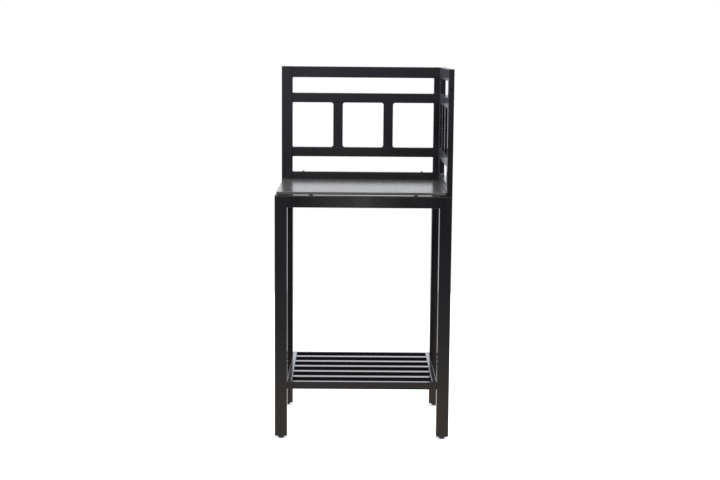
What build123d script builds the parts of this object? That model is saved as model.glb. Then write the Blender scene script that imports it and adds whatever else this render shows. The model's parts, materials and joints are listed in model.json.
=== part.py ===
"""Potting bench in powder-coated steel tube.

A table frame on four levelling feet carries a stone top, a slatted shelf hangs between the legs, and
two open lattice panels stand on the frame: one along the back and one along the right-hand end.
Millimetres, +Z up, front towards -Y. The origin is on the floor under the middle of the bench.
"""

from build123d import *
import os

# Overall sizes
bench_width = 600.0
bench_depth = 480.0
frame_top = 846.0  # top of the legs and aprons above the floor
panel_height = 427.0  # lattice panels above the frame

# Legs and their plastic ends
leg_side = 42.0
leg_wall = 2.0
leg_corner = 2.5
leg_cap_thickness = 3.0
cap_skirt_depth = 10.0
cap_skirt_wall = 2.5
cap_rounding = 0.3  # of its top edge, as a share of its thickness
insert_depth = 30.0

# Levelling feet
foot_height = 11.0
foot_radius = 10.5
foot_edge = 3.0
stud_radius = 4.0
stud_reach = 24.0  # engaged length above the foot pad
stud_seat = 6.0  # length moulded into the foot pad
stud_clearance = 0.05
stud_lead = 0.8  # chamfer on the stud's upper end

# Aprons, the rails that join the legs under the top
apron_height = 40.0
apron_depth = 25.0
apron_wall = 2.0
apron_inset = 1.0  # how far the apron stands back from the leg's outer face

# Corner brackets
bracket_length = 30.0
bracket_thickness = 2.5
bracket_margin = 1.0  # above the apron's lower edge
bracket_screw_margin = 10.5  # from the bracket's free end
bracket_screw_shares = (0.25, 0.75)  # of the bracket's height

# Stone top and its rubber pads
top_thickness = 10.0
top_inset = 5.5  # from the bench's left and front faces
top_gap = 1.0  # to the lattice panels
top_corner = 3.0
top_chamfer = 0.8
pad_height = 3.0
pad_radius = 6.5
front_pad_x = 178.0
leg_pad_inset = 9.0  # from the leg's inner faces to the pad's middle

# Slatted shelf
shelf_top = 202.0
shelf_rail_height = 26.0
shelf_rail_width = 16.0
shelf_inset = 7.0  # of the front and rear rails from the bench's faces
slat_count = 5
slat_width = 24.0
slat_height = 26.0
shelf_wall = 1.5
shelf_bolt_inset = 9.0  # from the leg's inner face along the rail

# Lattice panels
panel_thickness = 19.0
post_width = 40.0
end_rail_height = 40.0  # top and bottom rails
mid_rail_height = 35.0
bar_width = 35.0
slot_height = 56.5  # between an end rail and its mid rail
panel_wall = 1.5
flare_radius = 8.0  # rounding where a bar meets its rails
flare_reach = 6.5
post_cap_thickness = 2.0
panel_bolt_inset = 80.0  # from the panel's ends
link_hole_radius = 3.25
link_hole_drop = 67.0  # below the panel's top
corner_bolt_lift = 80.0  # of each corner bolt from the panel's ends
access_radius = 6.5

# Tube corners and fasteners
tube_corner = 2.0
inner_corner = 0.5
bolt_radius = 3.0
bolt_hole_radius = 3.3
bolt_head_radius = 5.25
bolt_head_height = 3.3
bolt_socket = 4.0  # across flats
socket_share = 0.6  # of a head's height, how deep its socket is
bolt_past_nut = 1.0
nut_flats = 10.0
nut_thickness = 5.0
screw_radius = 2.0
screw_head_radius = 3.5
screw_head_height = 2.2
screw_socket = 2.5
screw_past_wall = 4.0
bracket_hole_clearance = 0.25
thread_clearance = 0.05
plug_stem_radius = 5.0
plug_stem_length = 4.0

# Levels and faces that follow from the sizes above
left, right = -bench_width / 2, bench_width / 2
front, rear = -bench_depth / 2, bench_depth / 2
leg_x = right - leg_side / 2
leg_y = rear - leg_side / 2
leg_inner_x = right - leg_side
leg_inner_y = rear - leg_side
leg_tube_top = frame_top - leg_cap_thickness
apron_middle = frame_top - apron_height / 2
apron_y = rear - apron_inset - apron_depth / 2
apron_x = right - apron_inset - apron_depth / 2
panel_top = frame_top + panel_height
back_face = rear - panel_thickness  # front face of the back panel
side_face = right - panel_thickness  # inner face of the side panel
back_middle = rear - panel_thickness / 2
side_middle = right - panel_thickness / 2
window_height = panel_height - 2 * (end_rail_height + mid_rail_height + slot_height)
shelf_middle = shelf_top - shelf_rail_height / 2
shelf_rail_y = rear - shelf_inset - shelf_rail_width / 2
shelf_rail_x = leg_inner_x - shelf_rail_width / 2
shelf_side_length = 2 * (shelf_rail_y - shelf_rail_width / 2)

os.makedirs("parts", exist_ok=True)


def upright(x, y, z):
    """Plane at the foot of an upright piece: local X across the bench, local Y towards the rear."""
    return Plane(origin=(x, y, z), x_dir=(1, 0, 0), z_dir=(0, 0, 1))


def crosswise(x, y, z):
    """Plane at the left end of a piece along X: local X towards the rear, local Y up."""
    return Plane(origin=(x, y, z), x_dir=(0, 1, 0), z_dir=(1, 0, 0))


def lengthwise(x, y, z):
    """Plane at the front end of a piece along Y: local X to the left, local Y up."""
    return Plane(origin=(x, y, z), x_dir=(-1, 0, 0), z_dir=(0, 1, 0))


def save(part, name):
    """Labels a finished piece and writes it to its own file."""
    part.label = name
    export_step(part, f"parts/{name}.step")


def make_tube(name, plane, width, height, length, wall, corner=tube_corner, holes=()):
    """Rectangular tube along the plane's normal; each hole is a plane, a radius and a depth."""
    with BuildPart() as tube:
        with BuildSketch(plane):
            RectangleRounded(width, height, corner)
            RectangleRounded(width - 2 * wall, height - 2 * wall, inner_corner, mode=Mode.SUBTRACT)
        extrude(amount=length)
        for hole_plane, radius, depth in holes:
            with BuildSketch(hole_plane):
                Circle(radius)
            extrude(amount=depth, mode=Mode.SUBTRACT)
    save(tube.part, name)


def make_group(name, part, planes):
    """Writes identical pieces as one node, a copy of the part on each plane."""
    with BuildPart() as group:
        with Locations(*planes):
            add(part)
    save(group.part, name)


def screw(head_radius, head_height, shank_radius, shank_length, socket):
    """Button-head screw on its seat at Z = 0, with the head above and the shank below."""
    with BuildPart() as body:
        with BuildSketch(Plane.XZ):
            with BuildLine():
                TangentArc((0, head_height), (head_radius, 0), tangent=(1, 0))
                Polyline(
                    (head_radius, 0),
                    (shank_radius, 0),
                    (shank_radius, -shank_length),
                    (0, -shank_length),
                    (0, head_height),
                )
            make_face()
        revolve(axis=Axis.Z)
        with BuildSketch(Plane.XY.offset(head_height)):
            RegularPolygon(socket / 2, side_count=6, major_radius=False)
        extrude(amount=-head_height * socket_share, mode=Mode.SUBTRACT)
    return body.part


def nut(bore_radius):
    """Hexagon weld nut that hangs below its seat at Z = 0."""
    with BuildPart() as body:
        with BuildSketch():
            RegularPolygon(nut_flats / 2, side_count=6, major_radius=False)
            Circle(bore_radius, mode=Mode.SUBTRACT)
        extrude(amount=-nut_thickness)
    return body.part


def cap(width, depth, corner, thickness, wall):
    """Plastic end cap on a tube end at Z = 0: a plate above and a hollow skirt inside the tube."""
    with BuildPart() as body:
        with BuildSketch():
            RectangleRounded(width, depth, corner)
        extrude(amount=thickness)
        fillet(body.faces().sort_by(Axis.Z)[-1].edges(), radius=thickness * cap_rounding)
        skirt_width = width - 2 * wall
        skirt_depth = depth - 2 * wall
        with BuildSketch():
            RectangleRounded(skirt_width, skirt_depth, inner_corner)
            Rectangle(
                skirt_width - 2 * cap_skirt_wall,
                skirt_depth - 2 * cap_skirt_wall,
                mode=Mode.SUBTRACT,
            )
        extrude(amount=-cap_skirt_depth)
    return body.part


def four_corners(x, y, z):
    """The four upright planes at plus and minus x and y."""
    return [upright(sx * x, sy * y, z) for sy in (-1, 1) for sx in (-1, 1)]


def corner_name(sx, sy):
    """Names a corner of the bench from the signs of its X and Y."""
    return f"{'front' if sy < 0 else 'rear'}_{'left' if sx < 0 else 'right'}"


def shelf_bolt_plane(sx, sy, x):
    """Plane on the axis of a shelf bolt at the height of the shelf rail, facing the bench's middle."""
    y = sy * (leg_inner_y + shelf_bolt_inset)
    return Plane(origin=(sx * x, y, shelf_middle), x_dir=(0, 1, 0), z_dir=(-sx, 0, 0))


# Legs, with a clearance hole for the shelf bolt and two for the corner bracket's screws
bracket_foot = frame_top - apron_height + bracket_margin
bracket_height = leg_tube_top - cap_skirt_depth - bracket_foot
bracket_levels = [bracket_foot + bracket_height * share for share in bracket_screw_shares]
apron_inner_y = rear - apron_inset - apron_depth
leg_screw_y = (apron_inner_y - bracket_thickness + leg_inner_y) / 2
apron_screw_x = leg_inner_x - bracket_length + bracket_screw_margin
for sy in (-1, 1):
    for sx in (-1, 1):
        inward = [
            Plane(origin=(sx * leg_inner_x, sy * leg_screw_y, level), z_dir=(sx, 0, 0))
            for level in bracket_levels
        ]
        make_tube(
            f"leg_{corner_name(sx, sy)}",
            upright(sx * leg_x, sy * leg_y, foot_height),
            leg_side,
            leg_side,
            leg_tube_top - foot_height,
            leg_wall,
            leg_corner,
            [(shelf_bolt_plane(sx, sy, leg_inner_x), bolt_hole_radius, -leg_wall)]
            + [(plane, screw_radius + thread_clearance, leg_wall) for plane in inward],
        )

make_group(
    "leg_caps",
    cap(leg_side, leg_side, leg_corner, leg_cap_thickness, leg_wall),
    four_corners(leg_x, leg_y, leg_tube_top),
)

# Leg inserts and levelling feet: a plastic pad moulded on a steel stud that screws into the insert
insert_side = leg_side - 2 * leg_wall
for sy in (-1, 1):
    for sx in (-1, 1):
        corner = corner_name(sx, sy)
        with BuildPart() as leg_insert:
            with BuildSketch(upright(sx * leg_x, sy * leg_y, foot_height)):
                RectangleRounded(insert_side, insert_side, inner_corner)
                Circle(stud_radius + stud_clearance, mode=Mode.SUBTRACT)
            extrude(amount=insert_depth)
        save(leg_insert.part, f"leg_insert_{corner}")

        with BuildPart() as foot_pad:
            with BuildSketch(upright(sx * leg_x, sy * leg_y, 0)):
                Circle(foot_radius)
            extrude(amount=foot_height)
            fillet(foot_pad.faces().sort_by(Axis.Z)[0].edges(), radius=foot_edge)
            with BuildSketch(upright(sx * leg_x, sy * leg_y, foot_height - stud_seat)):
                Circle(stud_radius)
            extrude(amount=stud_seat, mode=Mode.SUBTRACT)
        save(foot_pad.part, f"foot_pad_{corner}")

        with BuildPart() as foot_stud:
            with BuildSketch(upright(sx * leg_x, sy * leg_y, foot_height - stud_seat)):
                Circle(stud_radius)
            extrude(amount=stud_seat + stud_reach)
            chamfer(foot_stud.faces().sort_by(Axis.Z)[-1].edges(), length=stud_lead)
        save(foot_stud.part, f"foot_stud_{corner}")

# Aprons. The back panel's bolts enter the rear apron and the side panel's bolts the right one.
apron_length_x = 2 * leg_inner_x
apron_length_y = 2 * leg_inner_y
back_bolt_xs = [left + panel_bolt_inset, right - panel_bolt_inset]
side_bolt_ys = [front + panel_bolt_inset, back_face - panel_bolt_inset]
back_bolt_y = (back_face + rear - apron_inset) / 2  # middle of the panel's bearing on the apron
side_bolt_x = (side_face + right - apron_inset) / 2
back_bolt_tops = [upright(x, back_bolt_y, frame_top) for x in back_bolt_xs]
side_bolt_tops = [
    Plane(origin=(side_bolt_x, y, frame_top), x_dir=(0, 1, 0), z_dir=(0, 0, 1)) for y in side_bolt_ys
]
for sy, name in ((-1, "apron_front"), (1, "apron_rear")):
    bracket_holes = [
        Plane(origin=(sx * apron_screw_x, sy * apron_inner_y, level), z_dir=(0, sy, 0))
        for sx in (-1, 1)
        for level in bracket_levels
    ]
    holes = [(plane, screw_radius + thread_clearance, apron_wall) for plane in bracket_holes]
    if sy > 0:
        holes += [(plane, bolt_hole_radius, -apron_wall) for plane in back_bolt_tops]
    make_tube(
        name,
        crosswise(-leg_inner_x, sy * apron_y, apron_middle),
        apron_depth,
        apron_height,
        apron_length_x,
        apron_wall,
        holes=holes,
    )
for sx, name in ((-1, "apron_left"), (1, "apron_right")):
    make_tube(
        name,
        lengthwise(sx * apron_x, -leg_inner_y, apron_middle),
        apron_depth,
        apron_height,
        apron_length_y,
        apron_wall,
        holes=[(plane, bolt_hole_radius, -apron_wall) for plane in side_bolt_tops if sx > 0],
    )

# Corner brackets tie the front and rear aprons to the legs, each with two screws in either flange
bracket_edge_x = leg_inner_x - bracket_length
bracket_face_x = leg_inner_x - bracket_thickness
bracket_face_y = apron_inner_y - bracket_thickness
bracket_screws = []
with BuildPart() as corner_brackets:
    for sy in (-1, 1):
        for sx in (-1, 1):
            with BuildSketch(Plane.XY.offset(bracket_foot)):
                with BuildLine():
                    Polyline(
                        (sx * leg_inner_x, sy * apron_inner_y),
                        (sx * bracket_edge_x, sy * apron_inner_y),
                        (sx * bracket_edge_x, sy * bracket_face_y),
                        (sx * bracket_face_x, sy * bracket_face_y),
                        (sx * bracket_face_x, sy * leg_inner_y),
                        (sx * leg_inner_x, sy * leg_inner_y),
                        close=True,
                    )
                make_face()
            extrude(amount=bracket_height)
            seats = [
                Plane(origin=(sx * apron_screw_x, sy * bracket_face_y, level), z_dir=(0, -sy, 0))
                for level in bracket_levels
            ] + [
                Plane(origin=(sx * bracket_face_x, sy * leg_screw_y, level), z_dir=(-sx, 0, 0))
                for level in bracket_levels
            ]
            for seat in seats:
                with BuildSketch(seat):
                    Circle(screw_radius + bracket_hole_clearance)
                extrude(amount=-bracket_thickness, mode=Mode.SUBTRACT)
            bracket_screws += seats
save(corner_brackets.part, "corner_brackets")

screw_length = bracket_thickness + max(leg_wall, apron_wall) + screw_past_wall
bracket_screw = screw(screw_head_radius, screw_head_height, screw_radius, screw_length, screw_socket)
make_group("bracket_screws", bracket_screw, bracket_screws)

# Shelf: a welded frame of four rails and five slats, bolted between the legs
shelf_length_x = 2 * leg_inner_x
for sy, name in ((-1, "shelf_rail_front"), (1, "shelf_rail_rear")):
    make_tube(
        name,
        crosswise(-leg_inner_x, sy * shelf_rail_y, shelf_middle),
        shelf_rail_width,
        shelf_rail_height,
        shelf_length_x,
        shelf_wall,
    )
shelf_bolt_x = leg_inner_x - shelf_rail_width
for sx, name in ((-1, "shelf_rail_left"), (1, "shelf_rail_right")):
    make_tube(
        name,
        lengthwise(sx * shelf_rail_x, -shelf_side_length / 2, shelf_middle),
        shelf_rail_width,
        shelf_rail_height,
        shelf_side_length,
        shelf_wall,
        holes=[
            (shelf_bolt_plane(sx, sy, shelf_bolt_x), bolt_hole_radius, -shelf_rail_width)
            for sy in (-1, 1)
        ],
    )
slat_gap = (shelf_side_length - slat_count * slat_width) / (slat_count + 1)
for number in range(slat_count):
    slat_y = -shelf_side_length / 2 + slat_gap + slat_width / 2 + number * (slat_gap + slat_width)
    make_tube(
        f"shelf_slat_{number + 1}",
        crosswise(-shelf_bolt_x, slat_y, shelf_top - slat_height / 2),
        slat_width,
        slat_height,
        2 * shelf_bolt_x,
        shelf_wall,
    )


def bolt(grip):
    """Button-head bolt that clamps the given thickness and runs just past its nut."""
    length = grip + nut_thickness + bolt_past_nut
    return screw(bolt_head_radius, bolt_head_height, bolt_radius, length, bolt_socket)


weld_nut = nut(bolt_radius + thread_clearance)
shelf_corners = [(sx, sy) for sy in (-1, 1) for sx in (-1, 1)]
make_group(
    "shelf_bolts",
    bolt(shelf_rail_width + leg_wall),
    [shelf_bolt_plane(sx, sy, shelf_bolt_x) for sx, sy in shelf_corners],
)
make_group(
    "shelf_nuts",
    weld_nut,
    [shelf_bolt_plane(sx, sy, leg_inner_x + leg_wall) for sx, sy in shelf_corners],
)

# Stone top on rubber pads: four over the legs, two on the front apron and one on the left apron
pad_top = frame_top + pad_height
top_left = left + top_inset
top_right = side_face - top_gap
top_front = front + top_inset
top_rear = back_face - top_gap
with BuildPart() as stone_top:
    with BuildSketch(upright((top_left + top_right) / 2, (top_front + top_rear) / 2, pad_top)):
        RectangleRounded(top_right - top_left, top_rear - top_front, top_corner)
    extrude(amount=top_thickness)
    chamfer(stone_top.faces().filter_by(Axis.Z).edges(), length=top_chamfer)
save(stone_top.part, "stone_top")

leg_pad_x = leg_inner_x + leg_pad_inset
leg_pad_y = leg_inner_y + leg_pad_inset
pad_planes = four_corners(leg_pad_x, leg_pad_y, frame_top)
pad_planes += [upright(x, -apron_y, frame_top) for x in (-front_pad_x, front_pad_x)]
pad_planes.append(upright(-apron_x, 0, frame_top))
with BuildPart() as rubber_pad:
    with BuildSketch():
        Circle(pad_radius)
    extrude(amount=pad_height)
make_group("top_pads", rubber_pad.part, pad_planes)


# Lattice panels: two posts, four rails and two bars each, welded, with capped post tops
with BuildPart() as lattice_bar:
    with BuildSketch(Plane.XZ):
        Rectangle(bar_width + 2 * flare_reach, window_height)
        cutter_width = 4 * flare_radius
        with Locations((-(bar_width + cutter_width) / 2, 0), ((bar_width + cutter_width) / 2, 0)):
            RectangleRounded(cutter_width, window_height, flare_radius, mode=Mode.SUBTRACT)
    extrude(amount=panel_thickness / 2, both=True)
    with BuildSketch(Plane.XY.offset(-window_height / 2)):
        Rectangle(bar_width - 2 * panel_wall, panel_thickness - 2 * panel_wall)
    extrude(amount=window_height, mode=Mode.SUBTRACT)


post_cap = cap(post_width, panel_thickness, tube_corner, post_cap_thickness, panel_wall)


def make_panel(prefix, ends, start, along, length, post_holes, foot_holes):
    """Writes a panel's pieces; ends names its two posts, and along is its direction."""

    def place(distance, height):
        return Vector(*start) + Vector(*along) * distance + Vector(0, 0, height)

    def stand(distance, height):
        return Plane(origin=place(distance, height), x_dir=along, z_dir=(0, 0, 1))

    def run(distance, height):
        return Plane(origin=place(distance, height), x_dir=(0, 0, 1), z_dir=along)

    for end, distance in zip(ends, (post_width / 2, length - post_width / 2)):
        make_tube(
            f"{prefix}_post_{end}",
            stand(distance, 0),
            post_width,
            panel_thickness,
            panel_height - post_cap_thickness,
            panel_wall,
            holes=post_holes.get(end, ()),
        )
    lower_rail = end_rail_height + slot_height + mid_rail_height / 2
    rails = {
        "bottom": (end_rail_height, end_rail_height / 2),
        "lower": (mid_rail_height, lower_rail),
        "upper": (mid_rail_height, panel_height - lower_rail),
        "top": (end_rail_height, panel_height - end_rail_height / 2),
    }
    for rail, (height, level) in rails.items():
        make_tube(
            f"{prefix}_rail_{rail}",
            run(post_width, level),
            height,
            panel_thickness,
            length - 2 * post_width,
            panel_wall,
            holes=foot_holes if rail == "bottom" else (),
        )
    window_width = (length - 2 * post_width - 2 * bar_width) / 3
    for end, side in zip(ends, (-1, 1)):
        distance = length / 2 + side * (window_width + bar_width) / 2
        make_group(f"{prefix}_bar_{end}", lattice_bar.part, [stand(distance, panel_height / 2)])
    cap_planes = [
        stand(distance, panel_height - post_cap_thickness)
        for distance in (post_width / 2, length - post_width / 2)
    ]
    make_group(f"{prefix}_post_caps", post_cap, cap_planes)


def seat_above(plane):
    """Plane of a panel bolt's head, on top of the bottom rail over a hole in the apron."""
    return plane.offset(end_rail_height)


corner_levels = [frame_top + corner_bolt_lift, panel_top - corner_bolt_lift]


def corner_planes(y):
    """Planes on the axes of the two corner bolts, facing the rear."""
    return [Plane(origin=(side_middle, y, level), z_dir=(0, 1, 0)) for level in corner_levels]


make_panel(
    "back",
    ("left", "right"),
    (left, back_middle, frame_top),
    (1, 0, 0),
    bench_width,
    {
        "right": [(plane, bolt_hole_radius, panel_wall) for plane in corner_planes(back_face)]
        + [(plane, access_radius, -panel_wall) for plane in corner_planes(rear)]
    },
    [(seat_above(plane), bolt_hole_radius, -end_rail_height) for plane in back_bolt_tops],
)
link_hole = Plane(origin=(side_middle, front, panel_top - link_hole_drop), z_dir=(0, 1, 0))
make_panel(
    "side",
    ("front", "rear"),
    (side_middle, front, frame_top),
    (0, 1, 0),
    back_face - front,
    {
        "front": [(link_hole, link_hole_radius, panel_wall)],
        "rear": [(plane, bolt_hole_radius, -panel_wall) for plane in corner_planes(back_face)],
    },
    [(seat_above(plane), bolt_hole_radius, -end_rail_height) for plane in side_bolt_tops],
)

# Fasteners of the panels: long bolts down into the aprons, and short ones through the corner posts
panel_bolt = bolt(end_rail_height + apron_wall)
apron_hole_planes = back_bolt_tops + side_bolt_tops
make_group("panel_bolts", panel_bolt, [seat_above(plane) for plane in apron_hole_planes])
make_group("apron_nuts", weld_nut, [plane.offset(-apron_wall) for plane in apron_hole_planes])
make_group("corner_bolts", bolt(2 * panel_wall), corner_planes(back_face + panel_wall))
make_group("corner_nuts", weld_nut, corner_planes(back_face - panel_wall))

with BuildPart() as access_plug:
    with BuildSketch():
        Circle(access_radius)
    extrude(amount=-panel_wall)
    with BuildSketch(Plane.XY.offset(-panel_wall)):
        Circle(plug_stem_radius)
    extrude(amount=-plug_stem_length)
make_group("access_plugs", access_plug.part, corner_planes(rear))
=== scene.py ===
"""Potting bench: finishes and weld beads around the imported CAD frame.

Metres, +Z up, front towards -Y, like the frame. Sizes and places are named values or come from the
frame. The numbers of each finish stand in its own function.
"""

import json
import math

import bmesh
import bpy
from mathutils import Matrix, Vector


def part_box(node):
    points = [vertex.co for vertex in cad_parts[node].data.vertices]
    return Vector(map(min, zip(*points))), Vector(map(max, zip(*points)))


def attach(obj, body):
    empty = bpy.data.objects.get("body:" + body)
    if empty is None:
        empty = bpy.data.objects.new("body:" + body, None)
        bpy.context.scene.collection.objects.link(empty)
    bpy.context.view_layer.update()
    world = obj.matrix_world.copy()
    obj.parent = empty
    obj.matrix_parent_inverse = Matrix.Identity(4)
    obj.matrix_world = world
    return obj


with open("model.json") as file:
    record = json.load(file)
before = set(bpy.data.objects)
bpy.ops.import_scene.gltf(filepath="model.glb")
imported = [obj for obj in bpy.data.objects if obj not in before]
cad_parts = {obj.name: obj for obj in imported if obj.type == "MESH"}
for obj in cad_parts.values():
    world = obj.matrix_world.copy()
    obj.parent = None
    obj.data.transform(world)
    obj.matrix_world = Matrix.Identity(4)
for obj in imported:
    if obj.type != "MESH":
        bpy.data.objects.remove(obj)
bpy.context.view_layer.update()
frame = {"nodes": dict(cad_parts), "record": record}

MM = 0.001

# Camera: where it stands, how it is turned, in radians, its lens and how far it sees
CAMERA_PLACE = (-0.0369, -4.6965, 1.3399)
CAMERA_DOWN = 0.1432
CAMERA_LEFT = -0.0059
CAMERA_ROLL = -0.0081
LENS_MM = 66.49
SENSOR_MM = 36.0
SIGHT = 60.0

# Studio
FLOOR_RADIUS = 2.6
FLOOR_SIDES = 128
FLOOR_COLOUR = (0.86, 0.86, 0.86)
FLOOR_GLOW = 0.45
BACKGROUND = 1.0
SOFTBOX_PLACE = (0, -0.4, 3.2)
SOFTBOX_TARGET = (0, 0, 0)
SOFTBOX_SIDE = 3.0
SOFTBOX_POWER = 60.0
REFLECTOR_PLACE = (0.0, -4.9, 0.28)
REFLECTOR_TARGET = (0, 0, 0.8)
REFLECTOR_WIDTH = 0.36
REFLECTOR_HEIGHT = 0.26
REFLECTOR_POWER = 0.48

# Painted reflection of the floor: the glow that reflections see in place of the lit paper, from its
# middle, under the bench, at 0 to its edge at 1
FLOOR_PAINTED_REFLECTION = (
    (0.0, (0.95, 0.80, 0.70)),
    (0.32, (0.84, 0.72, 0.62)),
    (0.42, (0.70, 0.63, 0.56)),
    (0.65, (0.55, 0.53, 0.50)),
    (1.0, (0.42, 0.41, 0.40)),
)

# Brightness of the studio by the height of a direction, height first: on the camera's side to the left
# and to the right, and behind the bench
LEFT_LEVELS = (
    (-0.5, 0.70), (-0.17, 0.40), (-0.14, 0.20), (-0.120, 0.0), (-0.105, 0.0),
    (-0.090, 0.26), (-0.075, 0.50), (-0.03, 0.90), (0.4, 1.0),
)
RIGHT_LEVELS = (
    (-0.5, 0.70), (-0.17, 0.38), (-0.14, 0.20), (-0.120, 0.0), (-0.105, 0.0),
    (-0.090, 0.02), (-0.075, 0.12), (-0.03, 0.48), (0.4, 0.7),
)
BACK_LEVELS = (
    (-0.5, 1.0), (-0.13, 0.75), (-0.08, 0.48), (-0.01, 0.38), (0.01, 0.10), (0.04, 0.28),
    (0.09, 1.10), (0.16, 1.50), (0.25, 1.9), (0.5, 1.5),
)
FRONT_TINT = (1.0, 0.97, 1.15)
BACK_TINT = (0.97, 1.0, 1.06)
RAMP_SHIFT = 0.5  # brings heights from -0.5 to 0.5 onto a ramp's 0 to 1

# Where a direction turns from the left levels to the right ones by its X, and from those two to the
# back ones by its Y
SIDE_START, SIDE_END = -0.07, 0.07
BACK_START, BACK_END = -0.9, -0.2

# Surfaces
NOISE_LOW, NOISE_HIGH = 0.3, 0.7  # most of a noise's values lie between these
BEVEL_SAMPLES = 4
EDGE_COSINE, FLAT_COSINE = 0.80, 0.98  # of the turn of the normal at a rubbed edge and off it
CAP_DARK, CAP_LIGHT, CAP_GRAIN = (0.010, 0.010, 0.011), (0.016, 0.016, 0.017), 1100.0
FOOT_DARK, FOOT_LIGHT, FOOT_GRAIN = (0.012, 0.012, 0.012), (0.019, 0.019, 0.019), 900.0

# Welds
WELD_LEG = 2.0 * MM
WELD_PITCH = 2.4 * MM
WELD_RIPPLE = 0.14  # how far a ripple dips, as a share of the leg
WELD_STEPS = 5  # steps along one ripple
WELD_FEWEST_STEPS = 8  # steps along the shortest bead
WELD_ARC = 5  # faces across the bead
WELD_FLAT = 0.20  # how far its face lies inside a quarter circle, as a share of the leg
WELD_SUNK = 0.15 * MM  # how far its back lies inside the tubes
WELD_INSET = 1.8 * MM  # from a tube's side to the bead's end
WELD_TIP = 0.45  # share of the leg at the bead's ends
WELD_GROWTH = 6.0  # rise of that share over the bead's whole length
PANEL_RAILS = ("bottom", "lower", "upper", "top")


# ---------------------------------------------------------------- node helpers


def fill_ramp(elements, stops):
    """Sets a colour ramp's stops, each a place and a colour, in rising order."""
    while len(elements) > 1:
        elements.remove(elements[-1])
    elements[0].position = stops[0][0]
    elements[0].color = (*stops[0][1], 1.0)
    for place, colour in stops[1:]:
        elements.new(place).color = (*colour, 1.0)


def colour_sockets(sockets):
    """Those of a node's sockets that carry a colour."""
    return [socket for socket in sockets if socket.type == "RGBA"]


def mix_colours(tree, factor, first, second):
    """Mixes two colours in a node tree; each may be an output or a plain colour."""
    mix = tree.nodes.new("ShaderNodeMix")
    mix.data_type = "RGBA"
    for socket, value in zip(colour_sockets(mix.inputs), (first, second)):
        if isinstance(value, tuple):
            socket.default_value = (*value, 1.0)
        else:
            tree.links.new(value, socket)
    tree.links.new(factor, mix.inputs["Factor"])
    return colour_sockets(mix.outputs)[0]


class Shader:
    """A material's node tree with its Principled shader, and short calls for the nodes used here."""

    def __init__(self, name):
        self.material = bpy.data.materials.new(name)
        self.material.use_nodes = True
        self.tree = self.material.node_tree
        self.nodes = self.tree.nodes
        self.links = self.tree.links
        self.shader = self.nodes["Principled BSDF"]
        self.place = self.nodes.new("ShaderNodeTexCoord").outputs["Object"]

    def set(self, **values):
        """Sets the shader's own sockets, such as base_color or roughness."""
        for key, value in values.items():
            socket = key.replace("_", " ").title().replace("Ior", "IOR")
            self.shader.inputs[socket].default_value = value

    def link(self, output, socket):
        """Leads an output into the shader."""
        self.links.new(output, self.shader.inputs[socket])

    def noise(self, scale, detail=4.0, rough=0.55, stretch=None):
        """Noise over the object, its scale in waves to the metre; stretch multiplies it by axis."""
        node = self.nodes.new("ShaderNodeTexNoise")
        node.inputs["Scale"].default_value = scale
        node.inputs["Detail"].default_value = detail
        node.inputs["Roughness"].default_value = rough
        place = self.place
        if stretch:
            mapping = self.nodes.new("ShaderNodeMapping")
            mapping.inputs["Scale"].default_value = stretch
            self.links.new(place, mapping.inputs["Vector"])
            place = mapping.outputs["Vector"]
        self.links.new(place, node.inputs["Vector"])
        return node.outputs["Fac"]

    def cells(self, scale):
        """Distance to the nearest of many scattered points."""
        node = self.nodes.new("ShaderNodeTexVoronoi")
        node.inputs["Scale"].default_value = scale
        self.links.new(self.place, node.inputs["Vector"])
        return node.outputs["Distance"]

    def spread(self, value, low, high, start=NOISE_LOW, end=NOISE_HIGH):
        """Maps a value's stretch from start to end onto low to high."""
        node = self.nodes.new("ShaderNodeMapRange")
        numbers = {"From Min": start, "From Max": end, "To Min": low, "To Max": high}
        for name, number in numbers.items():
            node.inputs[name].default_value = number
        self.links.new(value, node.inputs["Value"])
        return node.outputs["Result"]

    def colours(self, value, *stops):
        """Colour ramp; each stop is a place and a colour."""
        node = self.nodes.new("ShaderNodeValToRGB")
        fill_ramp(node.color_ramp.elements, stops)
        self.links.new(value, node.inputs["Fac"])
        return node.outputs["Color"]

    def tones(self, value, dark, light, start=NOISE_LOW, end=NOISE_HIGH):
        """Colours a noise from dark to light."""
        return self.colours(value, (start, dark), (end, light))

    def blend(self, factor, first, second):
        """Mixes two colours; each may be an output or a plain colour."""
        return mix_colours(self.tree, factor, first, second)

    def product(self, first, second):
        """Multiplies two outputs."""
        node = self.nodes.new("ShaderNodeMath")
        node.operation = "MULTIPLY"
        self.links.new(first, node.inputs[0])
        self.links.new(second, node.inputs[1])
        return node.outputs["Value"]

    def edges(self, radius):
        """One at a sharp edge, falling to nothing a radius away from it."""
        bevel = self.nodes.new("ShaderNodeBevel")
        bevel.samples = BEVEL_SAMPLES
        bevel.inputs["Radius"].default_value = radius
        flat = self.nodes.new("ShaderNodeNewGeometry").outputs["Normal"]
        dot = self.nodes.new("ShaderNodeVectorMath")
        dot.operation = "DOT_PRODUCT"
        self.links.new(bevel.outputs["Normal"], dot.inputs[0])
        self.links.new(flat, dot.inputs[1])
        return self.spread(dot.outputs["Value"], 1.0, 0.0, EDGE_COSINE, FLAT_COSINE)

    def bump(self, height, depth, under=None):
        """Normal of a relief of that depth, laid over another bump if one is given."""
        node = self.nodes.new("ShaderNodeBump")
        node.inputs["Distance"].default_value = depth
        self.links.new(height, node.inputs["Height"])
        if under is not None:
            self.links.new(under, node.inputs["Normal"])
        return node.outputs["Normal"]


# ---------------------------------------------------------------- materials


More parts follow.
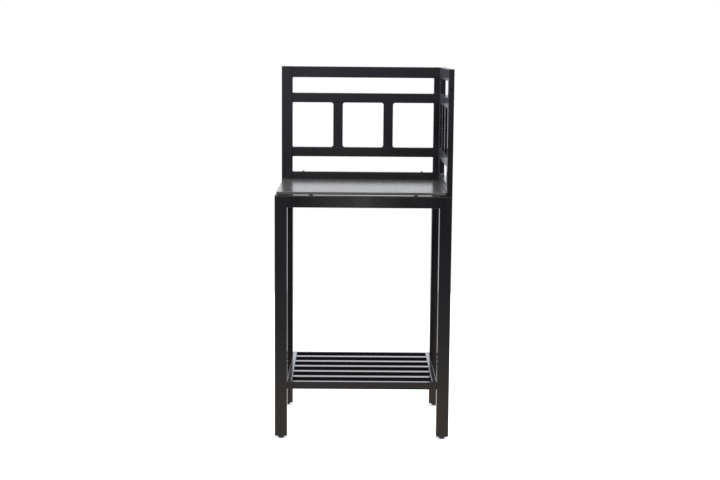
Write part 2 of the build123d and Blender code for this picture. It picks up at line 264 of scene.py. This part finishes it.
def powder_coat():
    """Satin black powder coat: orange peel, fine grain, faint handling marks and thin edges."""
    dark, light = (0.0022, 0.0022, 0.0025), (0.0036, 0.0036, 0.0040)
    glint, rubbed = (0.0050, 0.0050, 0.0054), (0.035, 0.035, 0.037)
    s = Shader("powder_coat")
    s.set(ior=1.5, sheen_weight=0.055, sheen_roughness=0.35, sheen_tint=(0.85, 0.90, 1.0, 1.0))
    cloud = s.noise(7.0, detail=3.0)
    grain = s.noise(1100.0, detail=2.0)
    chips = s.noise(260.0, detail=5.0, rough=0.7)
    marks = s.noise(16.0, detail=5.0, rough=0.6, stretch=(1.0, 1.0, 0.35))
    tone = s.tones(cloud, dark, light)
    grained = s.blend(s.spread(grain, 0.0, 0.5, start=0.50, end=0.72), tone, glint)
    worn = s.product(s.edges(0.9 * MM), s.spread(chips, 0.0, 0.45, start=0.56, end=0.72))
    s.link(s.blend(worn, grained, rubbed), "Base Color")
    s.link(s.spread(marks, 0.13, 0.19), "Roughness")
    peel = s.bump(s.noise(240.0, detail=2.0), 0.010 * MM)
    s.link(s.bump(grain, 0.003 * MM, under=peel), "Normal")
    return s.material


def sintered_stone():
    """Warm dark grey slab with a satin face, a mineral speckle and slow clouds of tone."""
    dark, light = (0.053, 0.050, 0.045), (0.063, 0.059, 0.053)
    fleck, pit = (0.11, 0.107, 0.102), (0.036, 0.034, 0.032)
    s = Shader("sintered_stone")
    s.set(ior=1.5)
    cloud = s.noise(9.0, detail=6.0, rough=0.6)
    speckle = s.cells(700.0)
    pits = s.noise(380.0, detail=4.0, rough=0.65)
    tone = s.tones(cloud, dark, light)
    flecked = s.blend(s.spread(speckle, 0.22, 0.0, start=0.05, end=0.40), tone, fleck)
    s.link(s.blend(s.spread(pits, 0.0, 0.3, start=0.56, end=0.70), flecked, pit), "Base Color")
    s.link(s.spread(s.noise(30.0), 0.205, 0.215), "Roughness")
    s.link(s.bump(pits, 0.001 * MM), "Normal")
    return s.material


def moulded_plastic(name, dark, light, grain_scale):
    """Matt black moulded plastic with a fine spark-eroded grain and paler scuffs."""
    scuffed = tuple(2.2 * part for part in light)
    s = Shader(name)
    s.set(ior=1.48)
    grain = s.noise(grain_scale, detail=3.0, rough=0.7)
    scuff = s.noise(60.0, detail=5.0, rough=0.65)
    tone = s.tones(grain, dark, light)
    s.link(s.blend(s.spread(scuff, 0.0, 0.4, start=0.55, end=0.75), tone, scuffed), "Base Color")
    s.link(s.spread(scuff, 0.38, 0.55), "Roughness")
    s.link(s.bump(grain, 0.02 * MM), "Normal")
    return s.material


def zinc_plate():
    """Zinc-plated steel: bright, from bluish to yellowish, with fine drawing marks."""
    bluish, yellowish = (0.50, 0.51, 0.53), (0.66, 0.65, 0.60)
    s = Shader("zinc_plate")
    s.set(metallic=1.0)
    bloom = s.noise(180.0)
    lines = s.noise(900.0, detail=3.0, rough=0.6, stretch=(1.0, 1.0, 0.08))
    s.link(s.tones(bloom, bluish, yellowish), "Base Color")
    s.link(s.spread(lines, 0.24, 0.40), "Roughness")
    s.link(s.bump(lines, 0.004 * MM), "Normal")
    return s.material


def black_oxide():
    """Blackened steel screws, rubbed brighter on their edges."""
    dark, light, rubbed = (0.020, 0.020, 0.021), (0.040, 0.040, 0.042), (0.16, 0.155, 0.15)
    s = Shader("black_oxide")
    s.set(metallic=0.6)
    mottle = s.noise(500.0, detail=4.0, rough=0.65)
    worn = s.product(s.edges(0.4 * MM), s.spread(mottle, 0.2, 0.8))
    s.link(s.blend(worn, s.tones(mottle, dark, light), rubbed), "Base Color")
    s.link(s.spread(mottle, 0.30, 0.46), "Roughness")
    s.link(s.bump(mottle, 0.006 * MM), "Normal")
    return s.material


def pad_rubber():
    """Black rubber with a dusty bloom."""
    clean, dusty = (0.016, 0.016, 0.016), (0.040, 0.039, 0.037)
    s = Shader("pad_rubber")
    s.set(ior=1.5)
    dust = s.noise(220.0, detail=5.0, rough=0.7)
    s.link(s.tones(dust, clean, dusty, start=0.35, end=0.75), "Base Color")
    s.link(s.spread(dust, 0.55, 0.80), "Roughness")
    s.link(s.bump(s.noise(900.0, detail=2.0), 0.01 * MM), "Normal")
    return s.material


def studio_floor():
    """Plain pale paper with an even glow; reflections see a painted reflection instead, the warm tones
    of a glow that fades out from the middle.
    """
    s = Shader("studio_floor")
    s.set(roughness=0.9, specular_ior_level=0.0, base_color=(*FLOOR_COLOUR, 1.0))
    s.set(emission_color=(1.0, 1.0, 1.0, 1.0), emission_strength=FLOOR_GLOW)
    reach = s.nodes.new("ShaderNodeVectorMath")
    reach.operation = "LENGTH"
    s.links.new(s.place, reach.inputs[0])
    share = s.spread(reach.outputs["Value"], 0.0, 1.0, start=0.0, end=FLOOR_RADIUS)
    # Painted reflection: a warm glow, brightest under the bench, that only glossy rays see
    painted_reflection_colour = s.colours(share, *FLOOR_PAINTED_REFLECTION)
    glow = s.nodes.new("ShaderNodeEmission")
    s.links.new(painted_reflection_colour, glow.inputs["Color"])
    choose = s.nodes.new("ShaderNodeMixShader")
    s.links.new(s.nodes.new("ShaderNodeLightPath").outputs["Is Glossy Ray"], choose.inputs["Fac"])
    s.links.new(s.shader.outputs["BSDF"], choose.inputs[1])
    s.links.new(glow.outputs["Emission"], choose.inputs[2])
    s.links.new(choose.outputs["Shader"], s.nodes["Material Output"].inputs["Surface"])
    return s.material


MATERIALS = {
    "frame_paint": powder_coat(),
    "stone": sintered_stone(),
    "cap_plastic": moulded_plastic("cap_plastic", CAP_DARK, CAP_LIGHT, CAP_GRAIN),
    "foot_plastic": moulded_plastic("foot_plastic", FOOT_DARK, FOOT_LIGHT, FOOT_GRAIN),
    "zinc_steel": zinc_plate(),
    "black_screws": black_oxide(),
    "pad_rubber": pad_rubber(),
}


def paint_frame():
    """Gives every CAD node the material of its record slot."""
    slots = {part["node"]: part["material_slot"] for part in frame["record"]["subparts"]}
    for name, node in frame["nodes"].items():
        material = MATERIALS[slots[name]]
        node.data.materials.clear()
        node.data.materials.append(material)


# ---------------------------------------------------------------- welds


def weld_bead(shape, start, end, across, up):
    """Adds one rippled fillet bead to a bmesh, from start to end along a corner between two faces."""
    start, end = Vector(start), Vector(end)
    across, up = Vector(across), Vector(up)
    length = (end - start).length
    count = max(WELD_FEWEST_STEPS, round(length / WELD_PITCH * WELD_STEPS))
    rings = []
    for step in range(count + 1):
        along = step / count
        ripple = abs(math.sin(math.pi * along * length / WELD_PITCH))
        taper = min(1.0, WELD_TIP + WELD_GROWTH * along, WELD_TIP + WELD_GROWTH * (1.0 - along))
        leg = WELD_LEG * taper * (1.0 - WELD_RIPPLE * ripple)
        centre = start.lerp(end, along)
        ring = [shape.verts.new(centre - (across + up) * WELD_SUNK)]
        for turn in range(WELD_ARC + 1):
            angle = math.pi / 2 * turn / WELD_ARC
            reach = leg * (1.0 - WELD_FLAT * math.sin(2 * angle))
            side = math.cos(angle) * reach - WELD_SUNK * (turn == WELD_ARC)
            rise = math.sin(angle) * reach - WELD_SUNK * (turn == 0)
            ring.append(shape.verts.new(centre + across * side + up * rise))
        rings.append(ring)
    for first, second in zip(rings, rings[1:]):
        for index in range(len(first)):
            after = (index + 1) % len(first)
            shape.faces.new((first[index], first[after], second[after], second[index]))
    shape.faces.new(rings[0])
    shape.faces.new(rings[-1])


def weld_piece(name, beads):
    """One piece that holds every bead of a welded group."""
    shape = bmesh.new()
    for bead in beads:
        weld_bead(shape, *bead)
    bmesh.ops.recalc_face_normals(shape, faces=shape.faces)
    mesh = bpy.data.meshes.new(name)
    shape.to_mesh(mesh)
    shape.free()
    mesh.shade_smooth()
    mesh.materials.append(MATERIALS["frame_paint"])
    piece = bpy.data.objects.new(name, mesh)
    bpy.context.scene.collection.objects.link(piece)
    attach(piece, "bench")


def panel_beads(prefix, ends, axis):
    """Beads in the inner corners between a panel's posts and rails; axis is the rails' direction."""
    thickness = 1 - axis
    beads = []
    for end, facing in zip(ends, (1.0, -1.0)):
        low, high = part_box(f"{prefix}_post_{end}")
        face = high[axis] if facing > 0 else low[axis]
        for rail in PANEL_RAILS:
            foot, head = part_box(f"{prefix}_rail_{rail}")
            edges = []
            if rail != "top":
                edges.append((head.z, 1.0))
            if rail != "bottom":
                edges.append((foot.z, -1.0))
            for level, rise in edges:
                near, far = Vector((0, 0, level)), Vector((0, 0, level))
                near[axis] = far[axis] = face
                near[thickness] = low[thickness] + WELD_INSET
                far[thickness] = high[thickness] - WELD_INSET
                across = Vector((0, 0, 0))
                across[axis] = facing
                beads.append((near, far, across, (0, 0, rise)))
    return beads


def shelf_beads():
    """Upright beads on both sides of each slat's ends and in the four corners of the shelf frame."""
    spots = []
    slat_count = sum(name.startswith("shelf_slat_") for name in frame["nodes"])
    for number in range(1, slat_count + 1):
        low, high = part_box(f"shelf_slat_{number}")
        spots += [(low.y, -1.0, low.z, high.z), (high.y, 1.0, low.z, high.z)]
    low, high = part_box("shelf_rail_front")
    spots += [(high.y, 1.0, low.z, high.z), (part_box("shelf_rail_rear")[0].y, -1.0, low.z, high.z)]
    left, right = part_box("shelf_rail_left")[1].x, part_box("shelf_rail_right")[0].x
    beads = []
    for face, inward in ((left, 1.0), (right, -1.0)):
        for y, side, bottom, top in spots:
            foot, head = (face, y, bottom + WELD_INSET), (face, y, top - WELD_INSET)
            beads.append((foot, head, (inward, 0, 0), (0, side, 0)))
    return beads


# ---------------------------------------------------------------- studio


def make_camera():
    """The camera, in front of the bench and a little above its top."""
    camera = bpy.data.objects.new("camera", bpy.data.cameras.new("camera"))
    camera.data.lens = LENS_MM
    camera.data.sensor_width = SENSOR_MM
    camera.data.clip_end = SIGHT
    turn = Matrix.Rotation(CAMERA_LEFT, 4, "Z") @ Matrix.Rotation(-CAMERA_DOWN, 4, "X")
    turn = turn @ Matrix.Rotation(CAMERA_ROLL, 4, "Y") @ Matrix.Rotation(math.pi / 2, 4, "X")
    camera.matrix_world = Matrix.Translation(CAMERA_PLACE) @ turn
    bpy.context.scene.collection.objects.link(camera)
    bpy.context.scene.camera = camera


def make_floor():
    """A round pale floor under the bench."""
    mesh = bpy.data.meshes.new("floor")
    shape = bmesh.new()
    bmesh.ops.create_circle(shape, cap_ends=True, segments=FLOOR_SIDES, radius=FLOOR_RADIUS)
    shape.to_mesh(mesh)
    shape.free()
    floor = bpy.data.objects.new("floor", mesh)
    mesh.materials.append(studio_floor())
    bpy.context.scene.collection.objects.link(floor)


def area_light(name, place, target, width, height, power):
    """A rectangular lamp that faces its target and that the camera doesn't see."""
    light = bpy.data.lights.new(name, "AREA")
    light.shape = "RECTANGLE"
    light.size = width
    light.size_y = height
    light.energy = power
    lamp = bpy.data.objects.new(name, light)
    lamp.location = place
    direction = Vector(target) - Vector(place)
    lamp.rotation_euler = direction.to_track_quat("-Z", "Y").to_euler()
    lamp.visible_camera = False
    bpy.context.scene.collection.objects.link(lamp)


def make_lights():
    """A large softbox overhead and a low reflector in front."""
    area_light("softbox", SOFTBOX_PLACE, SOFTBOX_TARGET, SOFTBOX_SIDE, SOFTBOX_SIDE, SOFTBOX_POWER)
    size = (REFLECTOR_WIDTH, REFLECTOR_HEIGHT)
    area_light("reflector", REFLECTOR_PLACE, REFLECTOR_TARGET, *size, REFLECTOR_POWER)


def smooth_step(tree, value, start, end):
    """Rises smoothly from zero at start to one at end."""
    node = tree.nodes.new("ShaderNodeMapRange")
    node.interpolation_type = "SMOOTHSTEP"
    node.inputs["From Min"].default_value = start
    node.inputs["From Max"].default_value = end
    tree.links.new(value, node.inputs["Value"])
    return node.outputs["Result"]


def height_ramp(tree, height, levels, tint):
    """Colours a direction by its height, in one tint at the levels given."""
    shifted = tree.nodes.new("ShaderNodeMath")
    shifted.operation = "ADD"
    shifted.inputs[1].default_value = RAMP_SHIFT
    tree.links.new(height, shifted.inputs[0])
    ramp = tree.nodes.new("ShaderNodeValToRGB")
    stops = [(z + RAMP_SHIFT, tuple(level * part for part in tint)) for z, level in levels]
    fill_ramp(ramp.color_ramp.elements, stops)
    tree.links.new(shifted.outputs["Value"], ramp.inputs["Fac"])
    return ramp.outputs["Color"]


def studio_glow(tree):
    """The studio's colour in each direction: its two front halves and its back, blended."""
    split = tree.nodes.new("ShaderNodeSeparateXYZ")
    tree.links.new(tree.nodes.new("ShaderNodeTexCoord").outputs["Generated"], split.inputs["Vector"])
    left = height_ramp(tree, split.outputs["Z"], LEFT_LEVELS, FRONT_TINT)
    right = height_ramp(tree, split.outputs["Z"], RIGHT_LEVELS, FRONT_TINT)
    back = height_ramp(tree, split.outputs["Z"], BACK_LEVELS, BACK_TINT)
    rightness = smooth_step(tree, split.outputs["X"], SIDE_START, SIDE_END)
    backness = smooth_step(tree, split.outputs["Y"], BACK_START, BACK_END)
    return mix_colours(tree, backness, mix_colours(tree, rightness, left, right), back)


def make_world():
    """White studio: bright high up behind, a dark band low down in front, plain white to the camera."""
    world = bpy.data.worlds.new("studio")
    world.use_nodes = True
    nodes, links = world.node_tree.nodes, world.node_tree.links
    glow = nodes["Background"]
    links.new(studio_glow(world.node_tree), glow.inputs["Color"])
    plain = nodes.new("ShaderNodeBackground")
    plain.inputs["Color"].default_value = (BACKGROUND, BACKGROUND, BACKGROUND, 1.0)
    choose = nodes.new("ShaderNodeMixShader")
    links.new(nodes.new("ShaderNodeLightPath").outputs["Is Camera Ray"], choose.inputs["Fac"])
    links.new(glow.outputs["Background"], choose.inputs[1])
    links.new(plain.outputs["Background"], choose.inputs[2])
    links.new(choose.outputs["Shader"], nodes["World Output"].inputs["Surface"])
    bpy.context.scene.world = world


bpy.context.scene.view_settings.view_transform = "Standard"

make_camera()
make_world()
make_lights()
make_floor()
paint_frame()
weld_piece("back_panel_welds", panel_beads("back", ("left", "right"), 0))
weld_piece("side_panel_welds", panel_beads("side", ("front", "rear"), 1))
weld_piece("shelf_welds", shelf_beads())
